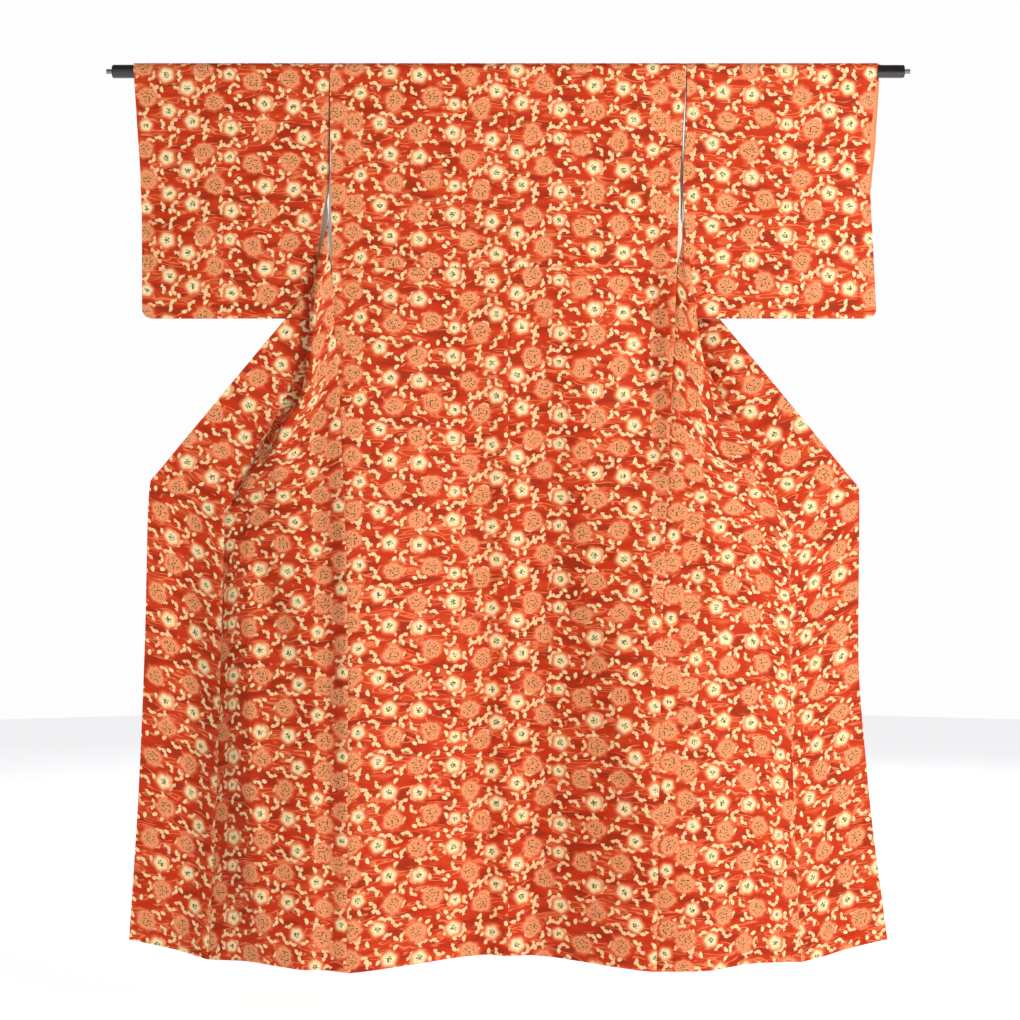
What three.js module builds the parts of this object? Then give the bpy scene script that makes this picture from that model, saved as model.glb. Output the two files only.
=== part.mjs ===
// A lined komon kimono hung on a lacquered rod, seen from behind with its two fronts drawn out sideways.
// Millimetres, +Z up. The rod's axis runs along X through the origin; the back of the kimono faces -Y.
// Each cut piece of cloth is a wall with the thickness of the lined silk, worked out on a grid of
// cut rows (distance from the shoulder line) and cut columns (distance across the piece).
import * as THREE from "three";

// Cloth and rod
const CLOTH = 2; // outer silk and lining together
const COLLAR_CLOTH = 3; // the collar is folded in half along its length
const SEAM_GAP = 0.3;
const ROD_RADIUS = 11.5;
const ROD_LENGTH = 1361;
const ROD_EDGE = 1.5;
const PIN_RADIUS = 4;
const PIN_LENGTH = 10;
const WRAP = ROD_RADIUS + 0.6 + CLOTH / 2; // radius of the cloth's middle where it passes over the rod

// Cut sizes
const BODY_LENGTH = 1595; // shoulder line to hem
const FAR_SLIP = 50; // the shoulder line lies this far beyond the top of the rod
const NECK_HALF = 85;
const NECK_DROP = 25; // how far the back neckline is cut below the shoulder line
const OKUMI_TIP = 190; // where the overlap panel begins
const COLLAR_WIDTH = 57;
const CLIP_CUT = 805; // cut distance of the collar's end from the shoulder line
const SLIT_TOP = 254; // cut distance where the sleeve ends and the underarm slit begins
const SLIT_END = 431; // cut distance where the slit ends and the side seam begins
const SLEEVE_DROP = 425;
const SLEEVE_CORNER = 17;
const WRIST_OPENING = 225;

const COLOURS = { silk: 0xc8401f, lining: 0xe88a50, lacquer: 0x0c0b0b, steel: 0x8f9194 };

// Rows of numbers under a line of column names.
const named = (names, rows) =>
  rows.map((row) => Object.fromEntries(names.split(" ").map((name, column) => [name, row[column]])));

// Where the two sides of the kimono differ. The columns of "rows" are
// cut: distance from the shoulder line along the front
// seamX, seamY: the side seam, and above it the edge of the underarm slit
// ridgeX, ridgeY, ridgeTurn: the near fold beside the side seam, and the depth the cloth turns through there
// foldX, foldZ, foldY, foldTurn: the hidden fold behind it, from which the front runs out to its edge
// Distances across are from the centre line outwards.
const LEFT = {
  name: "left",
  side: -1,
  shoulder: 306,
  slitX: 304,
  collarLean: 40.2,
  rows: named("cut seamX seamY ridgeX ridgeY ridgeTurn foldX foldZ foldY foldTurn", [
    [0, 306, 13, 262, 13, 0, 106, -34, 13, 3],
    [60, 306, 13, 262, 13, 0, 106, -94, 15, 5],
    [120, 306, 13, 264, 14, 0, 112, -186, 16, 7],
    [190, 306, 11, 268, 12, 0, 130, -261, 15, 8],
    [300, 312, -2, 286, -2, 0, 165, -366, 5, 9],
    [375, 305, -12, 327, -26, 11.5, 195, -435, 0, 9],
    [431, 301, -17, 336, -32, 17.5, 222, -482, -5, 8],
    [500, 297, -22, 341, -36, 20, 262, -540, -9, 8],
    [560, 292, -27, 350, -39, 20, 305, -584, -13, 8],
    [620, 288, -30, 386, -38, 14, 366, -620, -17, 8],
    [680, 285, -36, 404, -38, 9, 414, -664, -20, 8],
    [740, 282, -42, 402, -37, 7, 444, -710, -20, 8],
    [805, 279, -48, 398, -38, 5, 448, -757, -18, 10],
    [900, 274, -56, 366, -44, 4, 452, -842, -18, 12],
    [1130, 270, -70, 342, -62, 4, 448, -1066, -30, 14],
    [1370, 270, -80, 336, -82, 3, 440, -1300, -42, 12],
    [1595, 272, -86, 334, -94, 2, 438, -1521, -46, 8],
  ]),
  // Front edge: height, distance out and depth; rise is how steeply the cut rows climb towards it.
  edge: named("cut x z y rise", [
    [0, 88, -52, 13, 0.2],
    [60, 127, -116, 18, 0.4],
    [190, 209, -223, 22, 0.49],
    [300, 282, -309, 4, 0.49],
    [375, 332, -367, -10, 0.49],
    [431, 369, -411, -12, 0.49],
    [500, 415, -465, -11, 0.49],
    [620, 494, -559, -6, 0.49],
    [790, 606, -692, 5, 0.475],
    [805, 616, -704, 6, 0.47],
    [865, 621, -760, 10, 0.44],
    [1070, 627, -970, 16, 0.36],
    [1320, 638, -1219, 22, 0.3],
    [1595, 656, -1497, 26, 0.2],
  ]),
  // Seam of the overlap panel below the collar's end, and the trough outside it.
  okumi: named("cut x y troughY", [
    [805, 488, 2, 8],
    [900, 490, 12, 16],
    [1130, 497, 10, 20],
    [1370, 505, 0, 22],
    [1595, 516, -10, 20],
  ]),
  // Sleeve: height, the two edges across, and how far the far layer stands out beyond the near one.
  sleeve: named("z inner outer farExtra", [
    [14, 306.5, 643, 0],
    [-100, 306.5, 636, 0],
    [-187, 306.5, 631, 0],
    [-245, 317, 630, 0],
    [-341, 329, 629.5, 0],
    [-425, 334, 629.5, 0],
  ]),
};

const RIGHT = {
  name: "right",
  side: 1,
  shoulder: 306,
  slitX: 297,
  collarLean: 39.4,
  rows: named("cut seamX seamY ridgeX ridgeY ridgeTurn foldX foldZ foldY foldTurn", [
    [0, 306, 13, 262, 13, 0, 106, -34, 13, 3],
    [60, 303, 13, 262, 13, 0, 106, -94, 15, 5],
    [120, 301, 13, 262, 14, 0, 112, -186, 16, 7],
    [190, 298, 11, 262, 12, 0, 128, -261, 15, 8],
    [300, 296, 2, 270, 3, 0, 146, -366, 10, 9],
    [375, 291, -9, 311, -17, 8, 166, -435, 6, 10],
    [431, 288, -15, 318, -23, 12, 186, -482, 3, 11],
    [500, 285, -20, 328, -30, 14, 220, -540, -3, 11],
    [560, 282, -25, 343, -35, 15, 262, -586, -7, 11],
    [620, 279, -30, 358, -38, 12, 316, -630, -12, 10],
    [680, 276, -36, 382, -39, 10, 380, -672, -16, 9],
    [740, 273, -42, 396, -38, 8, 422, -715, -18, 8],
    [805, 270, -48, 380, -40, 5, 432, -760, -18, 10],
    [900, 265, -56, 350, -48, 4, 430, -845, -22, 10],
    [1130, 258, -68, 330, -66, 4, 424, -1068, -38, 8],
    [1370, 253, -78, 326, -84, 3, 420, -1302, -50, 8],
    [1595, 250, -84, 326, -96, 2, 420, -1523, -54, 6],
  ]),
  edge: named("cut x z y rise", [
    [0, 88, -52, 13, 0.2],
    [60, 125, -118, 18, 0.4],
    [190, 204, -229, 24, 0.49],
    [300, 276, -316, 20, 0.49],
    [431, 361, -420, 12, 0.49],
    [620, 484, -570, 0, 0.49],
    [790, 594, -704, 5, 0.475],
    [805, 604, -716, 6, 0.47],
    [865, 605, -772, 10, 0.44],
    [1070, 604, -980, 16, 0.36],
    [1320, 622, -1228, 22, 0.3],
    [1595, 656, -1497, 26, 0.2],
  ]),
  okumi: named("cut x y troughY", [
    [805, 478, -6, 4],
    [900, 482, -8, 10],
    [1130, 486, -12, 16],
    [1370, 492, -16, 18],
    [1595, 502, -20, 18],
  ]),
  sleeve: named("z inner outer farExtra", [
    [14, 306.5, 634, 6.5],
    [-58, 305, 627, 9],
    [-118, 302.5, 622, 10],
    [-187, 299.5, 620, 5],
    [-245, 301, 624, 0],
    [-341, 311, 629, 0],
    [-425, 315, 633, 0],
  ]),
};

// Depth of the back at the centre seam and midway to the side seam, by height.
const BACK_DEPTH = named("z centre middle", [
  [0, -13, -13],
  [-350, -12, -14],
  [-700, -4, -18],
  [-1050, 10, -24],
  [-1540, 34, -26],
]);
const HEM_CENTRE = -1523;

// Rows of every long piece: where the grid has a line across the cloth.
const FRONT_CUTS = [
  0, 30, 60, 90, 120, 155, 190, 245, 300, 340, 375, 403, 431, 465, 500, 530, 560, 590, 620, 650, 680, 710, 740,
  772, 790, 805, 850, 900, 1010, 1130, 1250, 1370, 1485, 1595,
];
const BACK_CUTS = [
  1595, 1485, 1370, 1250, 1130, 1010, 900, 805, 740, 680, 620, 560, 500, 431, 375, 300, 254, 190, 120, 85,
];
const WRAP_STEPS = 8;
const BACK_COLUMNS = 11;
const COLLAR_COLUMNS = 3;
const NECK_ROWS = 5;
const COLLAR_CLEAR = 4.5; // between the middles of the opened front and of the collar behind it
const COLLAR_TOP = -22; // height of the collar's seam at the centre of the neck

const degrees = (angle) => (angle * Math.PI) / 180;
const clamp = (value, low, high) => Math.min(high, Math.max(low, value));
const mix = (a, b, share) => a + (b - a) * share;

// Value of one named column of a table at a place on its key column, by a Hermite curve that never overshoots.
function tableValue(rows, key, place, column) {
  const rising = rows[rows.length - 1][key] > rows[0][key];
  const sorted = rising ? rows : [...rows].reverse();
  if (place <= sorted[0][key]) return sorted[0][column];
  if (place >= sorted[sorted.length - 1][key]) return sorted[sorted.length - 1][column];
  let i = 0;
  while (sorted[i + 1][key] < place) i += 1;
  const slope = (n) => (sorted[n + 1][column] - sorted[n][column]) / (sorted[n + 1][key] - sorted[n][key]);
  const tangent = (n) => {
    if (n === 0) return slope(0);
    if (n === sorted.length - 1) return slope(n - 1);
    const before = slope(n - 1);
    const after = slope(n);
    return before * after <= 0 ? 0 : (2 * before * after) / (before + after);
  };
  const width = sorted[i + 1][key] - sorted[i][key];
  const t = (place - sorted[i][key]) / width;
  const a = sorted[i][column];
  const b = sorted[i + 1][column];
  return (
    a * (1 + 2 * t) * (1 - t) * (1 - t) +
    b * t * t * (3 - 2 * t) +
    width * (tangent(i) * t * (1 - t) * (1 - t) - tangent(i + 1) * t * t * (1 - t))
  );
}

// A wall of cloth: a grid of middle points, each moved half the thickness along its normal to both sides.
// "before" and "after" give, row by row, the neighbouring points of the pieces sewn to the grid's first and
// last columns, so that two walls that meet at a seam stand at the same slant there.
function clothWall(grid, thickness, before = [], after = []) {
  const rows = grid.length;
  const columns = grid[0].length;
  const at = (i, j) => {
    const row = clamp(i, 0, rows - 1);
    if (j < 0 && before[row]) return before[row];
    if (j >= columns && after[row]) return after[row];
    return grid[row][clamp(j, 0, columns - 1)];
  };
  const positions = [];
  for (const direction of [1, -1]) {
    for (let i = 0; i < rows; i += 1) {
      for (let j = 0; j < columns; j += 1) {
        const along = at(i + 1, j).clone().sub(at(i - 1, j));
        const across = at(i, j + 1).clone().sub(at(i, j - 1));
        const normal = along.cross(across).normalize();
        const point = at(i, j).clone().addScaledVector(normal, (direction * thickness) / 2);
        positions.push(point.x, point.y, point.z);
      }
    }
  }
  const front = (i, j) => i * columns + j;
  const back = (i, j) => rows * columns + i * columns + j;
  const faces = [];
  const quad = (a, b, c, d) => faces.push(a, b, c, a, c, d);
  for (let i = 0; i + 1 < rows; i += 1) {
    for (let j = 0; j + 1 < columns; j += 1) {
      quad(front(i, j), front(i + 1, j), front(i + 1, j + 1), front(i, j + 1));
      quad(back(i, j), back(i, j + 1), back(i + 1, j + 1), back(i + 1, j));
    }
  }
  for (let i = 0; i + 1 < rows; i += 1) {
    quad(front(i, 0), back(i, 0), back(i + 1, 0), front(i + 1, 0));
    quad(front(i, columns - 1), front(i + 1, columns - 1), back(i + 1, columns - 1), back(i, columns - 1));
  }
  for (let j = 0; j + 1 < columns; j += 1) {
    quad(front(0, j), front(0, j + 1), back(0, j + 1), back(0, j));
    quad(front(rows - 1, j), back(rows - 1, j), back(rows - 1, j + 1), front(rows - 1, j + 1));
  }
  const geometry = new THREE.BufferGeometry();
  geometry.setAttribute("position", new THREE.Float32BufferAttribute(positions, 3));
  geometry.setIndex(faces);
  return facingOut(geometry);
}

// Turns a closed surface's faces outwards when its volume comes out negative.
function facingOut(geometry) {
  const p = geometry.getAttribute("position");
  const index = geometry.getIndex().array;
  const a = new THREE.Vector3();
  const b = new THREE.Vector3();
  const c = new THREE.Vector3();
  let volume = 0;
  for (let i = 0; i < index.length; i += 3) {
    a.fromBufferAttribute(p, index[i]);
    b.fromBufferAttribute(p, index[i + 1]);
    c.fromBufferAttribute(p, index[i + 2]);
    volume += a.dot(b.cross(c));
  }
  if (volume < 0) {
    for (let i = 0; i < index.length; i += 3) [index[i + 1], index[i + 2]] = [index[i + 2], index[i + 1]];
  }
  geometry.computeVertexNormals();
  return geometry;
}

// Height of the side seam and of the slit's front edge: above the slit's end the front has slack to take up.
const SLIT_END_Z = ROD_RADIUS + 2.5 + FAR_SLIP - SLIT_END;
const SHOULDER_Z = -30;
function seamZ(cut) {
  if (cut < SLIT_END) return mix(SHOULDER_Z, SLIT_END_Z, cut / SLIT_END);
  return SLIT_END_Z - (cut - SLIT_END);
}

// Front edge of the opened front: the collar's seam down to the collar's end, then the overlap panel's edge.
function edgePoint(half, cut) {
  const value = (column) => tableValue(half.edge, "cut", cut, column);
  return new THREE.Vector3(value("x"), value("y"), value("z"));
}

// Seam between front and overlap panel. Above the collar's end it runs in the turned part of the front.
function okumiPoint(half, cut) {
  const edge = edgePoint(half, cut);
  const rise = tableValue(half.edge, "cut", cut, "rise");
  if (cut <= OKUMI_TIP) return edge;
  let x;
  let y;
  if (cut < CLIP_CUT) {
    const share = (cut - OKUMI_TIP) / (CLIP_CUT - OKUMI_TIP);
    x = mix(edgePoint(half, OKUMI_TIP).x, half.okumi[0].x, share);
    y = mix(edge.y, half.okumi[0].y, share * share);
  } else {
    x = tableValue(half.okumi, "cut", cut, "x");
    y = tableValue(half.okumi, "cut", cut, "y");
  }
  return new THREE.Vector3(x, y, edge.z - rise * (edge.x - x));
}

// One cut row of the front, from the side seam round the near ridge and the hidden fold to the overlap seam.
const TURN = 8; // how far short of a fold the cloth begins to turn
const FOLD_FAR = 8; // the place in a row of the first point beyond the hidden fold
function frontRow(half, cut) {
  const value = (column) => tableValue(half.rows, "cut", cut, column);
  const end = okumiPoint(half, cut);
  const seam = new THREE.Vector3(value("seamX"), value("seamY"), seamZ(cut));
  const ridgeX = value("ridgeX");
  const foldX = value("foldX");
  const approach = TURN * clamp((ridgeX - seam.x) / (2 * TURN), -1, 1);
  const retreat = TURN * clamp((ridgeX - foldX) / (2 * TURN), -1, 1);
  const onward = TURN * clamp((end.x - foldX) / (2 * TURN), -1, 1);
  const ridgeY = value("ridgeY");
  const ridgeTurn = value("ridgeTurn");
  const foldY = value("foldY");
  const foldTurn = value("foldTurn");
  const toRidge = Math.abs(ridgeX - seam.x);
  const toFold = Math.abs(ridgeX - foldX);
  const ridgeZ = mix(seam.z, value("foldZ"), toRidge / (toRidge + toFold));
  const foldZ = value("foldZ");
  const near = new THREE.Vector3(ridgeX - approach, ridgeY, ridgeZ);
  const tip = new THREE.Vector3(ridgeX, ridgeY + ridgeTurn / 2, ridgeZ);
  const far = new THREE.Vector3(ridgeX - retreat, ridgeY + ridgeTurn, ridgeZ);
  const foldNear = new THREE.Vector3(foldX + retreat, foldY - foldTurn / 2, foldZ);
  const foldTip = new THREE.Vector3(foldX, foldY, foldZ);
  const foldFar = new THREE.Vector3(foldX + onward, foldY + foldTurn / 2, foldZ);
  const between = (a, b, share) => a.clone().lerp(b, share);
  return [
    seam,
    between(seam, near, 0.5),
    near,
    tip,
    far,
    between(far, foldNear, 0.5),
    foldNear,
    foldTip,
    foldFar,
    between(foldFar, end, 1 / 3),
    between(foldFar, end, 2 / 3),
    end,
  ];
}

// One cut row of the back, from the centre seam out to the side seam.
function backRow(half, cut) {
  const shrink = (HEM_CENTRE - WRAP) / (FAR_SLIP - BODY_LENGTH);
  const centreZ = WRAP - (cut - FAR_SLIP) * shrink;
  const sideZ = WRAP - (cut - FAR_SLIP);
  const sideX = backSideX(half, cut);
  const belowSlit = cut >= SLIT_END;
  const seamY = tableValue(half.rows, "cut", Math.max(cut, SLIT_END), "seamY");
  const sideY = belowSlit ? seamY : mix(-WRAP, seamY, clamp(cut / SLIT_END, 0, 1));
  const row = [];
  for (let j = 0; j <= BACK_COLUMNS; j += 1) {
    const share = j / BACK_COLUMNS;
    const z = mix(centreZ, sideZ, share * share);
    const centreY = tableValue(BACK_DEPTH, "z", z, "centre");
    const middleY = tableValue(BACK_DEPTH, "z", z, "middle");
    const arch = 4 * share * (1 - share);
    const straight = mix(centreY, sideY, share * share * (3 - 2 * share));
    const lift = middleY - (centreY + sideY) / 2;
    row.push(new THREE.Vector3(mix(SEAM_GAP / 2, sideX, share), straight + (lift * arch) / 2, z));
  }
  return row;
}

function backSideX(half, cut) {
  if (cut >= SLIT_END) return tableValue(half.rows, "cut", cut, "seamX");
  const slitShare = clamp((cut - FAR_SLIP) / (SLIT_TOP - FAR_SLIP), 0, 1);
  const atSlit = mix(half.shoulder, half.slitX, slitShare);
  const belowTop = clamp((cut - SLIT_TOP) / (SLIT_END - SLIT_TOP), 0, 1);
  return mix(atSlit, tableValue(half.rows, "cut", SLIT_END, "seamX"), belowTop);
}

// The rows that pass over the rod, from the near side to the shoulder line on the far side.
function wrapRows(half) {
  const rows = [];
  const quarter = (Math.PI / 2) * WRAP;
  const start = FAR_SLIP + quarter;
  for (let i = 0; i <= WRAP_STEPS; i += 1) {
    const angle = Math.PI * (i / WRAP_STEPS);
    const cut = start - (i / WRAP_STEPS) * 2 * quarter;
    const neckX = neckEdge(cut);
    const row = [];
    for (let j = 0; j <= BACK_COLUMNS; j += 1) {
      const x = mix(neckX, half.shoulder, j / BACK_COLUMNS);
      row.push(new THREE.Vector3(x, -WRAP * Math.cos(angle), WRAP * Math.sin(angle)));
    }
    rows.push(row);
  }
  return rows;
}

// The back neckline, a quarter ellipse from the centre seam to the shoulder point.
function neckEdge(cut) {
  const share = clamp(1 - cut / NECK_DROP, 0, 1);
  return Math.max(SEAM_GAP / 2, NECK_HALF * Math.sqrt(1 - (1 - share) * (1 - share)));
}

const placed = (half, row) => row.map((point) => new THREE.Vector3(point.x * half.side, point.y, point.z));

// Moves a row's end point a share of the seam's gap back towards the row's inside.
function parted(row, end, distance) {
  const inner = end === 0 ? row[1] : row[row.length - 2];
  const towards = inner.clone().sub(row[end]).normalize();
  row[end].addScaledVector(towards, distance);
  return row;
}

// The body panel runs from the back hem over the rod and the shoulder line down to the front hem.
function bodyPanel(half) {
  const grid = [];
  const before = [];
  const after = [];
  const add = (row, first, last) => {
    grid.push(placed(half, row));
    before.push(first && placed(half, [first])[0]);
    after.push(last && placed(half, [last])[0]);
  };
  for (const cut of BACK_CUTS) {
    const row = backRow(half, cut);
    const mirrored = row[1].clone().setX(-row[1].x);
    if (cut >= SLIT_END) add(parted(row, BACK_COLUMNS, SEAM_GAP), mirrored, frontRow(half, cut)[1]);
    else add(row, mirrored, null);
  }
  for (const row of wrapRows(half)) add(row, null, null);
  for (const cut of FRONT_CUTS) {
    const row = frontRow(half, cut).reverse();
    const last = row.length - 1;
    const beyond = cut > OKUMI_TIP ? okumiRow(half, cut)[1] : null;
    parted(row, 0, SEAM_GAP);
    if (cut >= SLIT_END) add(parted(row, last, SEAM_GAP), beyond, backRow(half, cut)[BACK_COLUMNS - 1]);
    else add(row, beyond, null);
  }
  return clothWall(grid, CLOTH, before, after);
}

// One cut row of the overlap panel, from its seam over the trough to the front edge.
const TROUGH_SHARE = 0.45;
function okumiRow(half, cut) {
  const seam = okumiPoint(half, cut);
  const edge = edgePoint(half, cut);
  const middle = seam.clone().lerp(edge, TROUGH_SHARE);
  if (cut >= CLIP_CUT) middle.y = tableValue(half.okumi, "cut", cut, "troughY");
  return [seam, middle, edge];
}

function okumiPanel(half) {
  const cuts = FRONT_CUTS.filter((value) => value > OKUMI_TIP);
  const grid = cuts.map((cut) => placed(half, parted(okumiRow(half, cut), 0, SEAM_GAP)));
  const before = cuts.map((cut) => placed(half, frontRow(half, cut).slice(-2, -1))[0]);
  return clothWall(grid, CLOTH, before);
}

// Place of one cut row of the opened front at a distance out, between the hidden fold and the edge.
function openRowAt(half, cut, x) {
  const beyondFold = frontRow(half, cut).slice(FOLD_FAR);
  const row = cut > OKUMI_TIP ? [...beyondFold, ...okumiRow(half, cut).slice(1)] : beyondFold;
  const next = row.findIndex((point) => point.x >= x);
  if (next <= 0) return next === 0 ? row[0] : row[row.length - 1];
  const last = row[next - 1];
  return last.clone().lerp(row[next], (x - last.x) / (row[next].x - last.x));
}

// Depth of the opened front at a distance out and a height.
function openFrontDepth(half, x, z) {
  let above = openRowAt(half, FRONT_CUTS[0], x);
  for (const cut of FRONT_CUTS.slice(1)) {
    const below = openRowAt(half, cut, x);
    if (below.z <= z) return mix(above.y, below.y, clamp((above.z - z) / (above.z - below.z), 0, 1));
    above = below;
  }
  return above.y;
}

// The collar is folded back behind the fronts along its seam, and hangs down behind the rod at the neck.
function collarLines(half) {
  const starts = FRONT_CUTS.filter((value) => value <= CLIP_CUT).map((cut) => {
    const lean = degrees(90 - half.collarLean) * clamp(cut / OKUMI_TIP, 0, 1);
    return { seam: edgePoint(half, cut), lean };
  });
  starts.reverse();
  const first = edgePoint(half, 0);
  for (let i = 1; i <= NECK_ROWS; i += 1) {
    const angle = ((i / NECK_ROWS) * Math.PI) / 2;
    const height = mix(first.z, COLLAR_TOP, Math.sin(angle));
    const seam = new THREE.Vector3(first.x * Math.cos(angle), first.y, height);
    starts.push({ seam, lean: 0 });
  }
  return starts.map(({ seam, lean }) => {
    const line = [];
    for (let j = 0; j <= COLLAR_COLUMNS; j += 1) {
      const down = (j / COLLAR_COLUMNS) * COLLAR_WIDTH;
      const x = seam.x - down * Math.sin(lean);
      const z = seam.z - down * Math.cos(lean);
      line.push(new THREE.Vector3(x * half.side, openFrontDepth(half, x, z) + COLLAR_CLEAR, z));
    }
    return line;
  });
}

function collarBand() {
  const left = collarLines(LEFT);
  const right = collarLines(RIGHT).slice(0, -1).reverse();
  return clothWall([...left, ...right], COLLAR_CLOTH);
}

// Half the distance between a sleeve's two layers at a height below the rod.
const SLEEVE_CLOSED = CLOTH / 2 + SEAM_GAP / 2;
function sleeveDepth(z) {
  return mix(WRAP, SLEEVE_CLOSED, clamp(-z / SLEEVE_DROP, 0, 1));
}

// A sleeve: one length folded over the rod, sewn together at the bottom and below the wrist opening.
const SLEEVE_HEIGHTS = [
  ...[0, 5, 11, SLEEVE_CORNER].map((above) => above - SLEEVE_DROP),
  ...[-341, -290, -250, -WRIST_OPENING, -187, -118, -58, -20],
];
const SLEEVE_COLUMNS = 6;
function sleevePanel(half) {
  const near = SLEEVE_HEIGHTS.map((z) => sleeveRow(half, z, -sleeveDepth(z)));
  const far = [...SLEEVE_HEIGHTS].reverse().map((z) => sleeveRow(half, z, sleeveDepth(z)));
  const over = [];
  for (let i = 0; i <= WRAP_STEPS; i += 1) {
    const angle = Math.PI * (i / WRAP_STEPS);
    over.push(sleeveRow(half, WRAP * Math.sin(angle), -WRAP * Math.cos(angle)));
  }
  return clothWall([...near, ...over, ...far], CLOTH);
}

function sleeveOuter(half, z, far) {
  const value = (column) => tableValue(half.sleeve, "z", z, column);
  const inCorner = clamp(1 - (SLEEVE_DROP + z) / SLEEVE_CORNER, 0, 1);
  const corner = SLEEVE_CORNER * (1 - Math.sqrt(1 - inCorner * inCorner));
  return value("outer") + (far ? value("farExtra") : 0) - corner;
}

function sleeveRow(half, z, y) {
  const inner = tableValue(half.sleeve, "z", z, "inner") + 2 * SEAM_GAP;
  const outer = sleeveOuter(half, z, y > 0);
  const sewn = z < -WRIST_OPENING ? Math.sign(y) * SLEEVE_CLOSED : y;
  const row = [];
  for (let j = 0; j <= SLEEVE_COLUMNS; j += 1) {
    const x = mix(inner, outer, j / SLEEVE_COLUMNS);
    row.push(new THREE.Vector3(half.side * x, j === SLEEVE_COLUMNS ? sewn : y, z));
  }
  return row;
}

// The strip of lining seen along the right wrist opening, on the inner side of the far layer.
const CUFF_WIDTH = 16;
const CUFF_THICKNESS = 1;
function cuffLining(half) {
  const heights = SLEEVE_HEIGHTS.filter((z) => z > -WRIST_OPENING);
  const grid = heights.map((z) => {
    const outer = sleeveOuter(half, z, true) - CUFF_THICKNESS;
    const y = sleeveDepth(z) - CLOTH - SEAM_GAP;
    return [outer - CUFF_WIDTH, outer].map((x) => new THREE.Vector3(half.side * x, y, z));
  });
  return clothWall(grid, CUFF_THICKNESS);
}

function rodGeometry() {
  const h = ROD_LENGTH / 2;
  const profile = [
    [0, -h],
    [ROD_RADIUS - ROD_EDGE, -h],
    [ROD_RADIUS, -h + ROD_EDGE],
    [ROD_RADIUS, h - ROD_EDGE],
    [ROD_RADIUS - ROD_EDGE, h],
    [0, h],
  ].map(([r, y]) => new THREE.Vector2(r, y));
  return new THREE.LatheGeometry(profile, 32).rotateZ(-Math.PI / 2);
}

function pinGeometry() {
  return new THREE.CylinderGeometry(PIN_RADIUS, PIN_RADIUS, PIN_LENGTH, 24).rotateZ(Math.PI / 2);
}

const group = new THREE.Group();
function add(name, geometry, colour, roughness, metalness) {
  const material = new THREE.MeshStandardMaterial({ color: colour, roughness, metalness });
  const mesh = new THREE.Mesh(geometry, material);
  mesh.name = name;
  group.add(mesh);
  return mesh;
}

for (const half of [LEFT, RIGHT]) {
  add(`body_${half.name}`, bodyPanel(half), COLOURS.silk, 0.8, 0);
  add(`okumi_${half.name}`, okumiPanel(half), COLOURS.silk, 0.8, 0);
  add(`sleeve_${half.name}`, sleevePanel(half), COLOURS.silk, 0.8, 0);
  const pin = add(`rod_pin_${half.name}`, pinGeometry(), COLOURS.steel, 0.3, 1);
  pin.position.x = half.side * (ROD_LENGTH / 2 + PIN_LENGTH / 2 + SEAM_GAP);
}
add("collar", collarBand(), COLOURS.silk, 0.8, 0);
add("cuff_lining_right", cuffLining(RIGHT), COLOURS.lining, 0.7, 0);
add("rod", rodGeometry(), COLOURS.lacquer, 0.15, 0);

export default group;
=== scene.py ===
import bpy
import numpy as np
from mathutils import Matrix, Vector


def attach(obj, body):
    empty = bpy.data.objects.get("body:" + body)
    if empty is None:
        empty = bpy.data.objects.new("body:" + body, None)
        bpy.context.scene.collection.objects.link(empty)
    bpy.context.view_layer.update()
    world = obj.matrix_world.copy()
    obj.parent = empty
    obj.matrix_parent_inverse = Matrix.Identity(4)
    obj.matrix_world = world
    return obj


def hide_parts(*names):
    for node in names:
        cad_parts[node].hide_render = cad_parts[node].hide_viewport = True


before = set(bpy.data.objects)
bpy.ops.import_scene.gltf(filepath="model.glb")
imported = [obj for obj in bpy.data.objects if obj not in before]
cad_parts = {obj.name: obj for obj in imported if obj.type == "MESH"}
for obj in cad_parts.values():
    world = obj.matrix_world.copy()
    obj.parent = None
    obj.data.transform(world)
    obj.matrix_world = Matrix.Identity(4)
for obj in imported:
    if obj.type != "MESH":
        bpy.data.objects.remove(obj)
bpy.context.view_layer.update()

MM = 0.001

# Cloth and rod
CLOTH = 2.0
COLLAR_CLOTH = 3.0
CUFF_CLOTH = 1.0
SLIT_CLOTH = 0.8
SEAM_GAP = 0.3
ROD_RADIUS = 11.5
ROD_CLEARANCE = 0.6
WRAP = ROD_RADIUS + ROD_CLEARANCE + CLOTH / 2  # radius of the cloth's middle where it passes over the rod

# Cut sizes
BODY_LENGTH = 1595
FAR_SLIP = 50  # the shoulder line lies this far beyond the top of the rod
NECK_HALF = 85
OKUMI_TIP = 190
COLLAR_WIDTH = 57
CLIP_CUT = 805  # where the collar ends, along the front edge
SLIT_TOP = 254
SLIT_END = 431
SLEEVE_DROP = 425
SLEEVE_CORNER = 17
WRIST_OPENING = 225
HEM_CENTRE = -1523
SHOULDER_Z = -30
SKIRT_LINING = 650  # how far up from the hem the peach lining reaches
CUFF_LINING = 120  # how far in from the wrist the peach lining reaches
DYE_EDGE = 4  # width over which one lining passes into the other
TUCK_CUT = 404
TUCK_TAKEN = 38
TUCK_STEP = 1.3
TUCK_FADE = 14

# How finely the cloth is laid out
ROW_STEP = 7
BACK_COLUMNS = 51
SLEEVE_COLUMNS = 43
COLLAR_COLUMNS = 9
WRAP_ROWS = 16
NECK_ROWS = 8
CUFF_ROWS = 48
SLIT_ROWS = 30


def named(names, rows):
    """A table: each column name with the array of its numbers."""
    return dict(zip(names.split(), np.array(rows, float).T))


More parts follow.
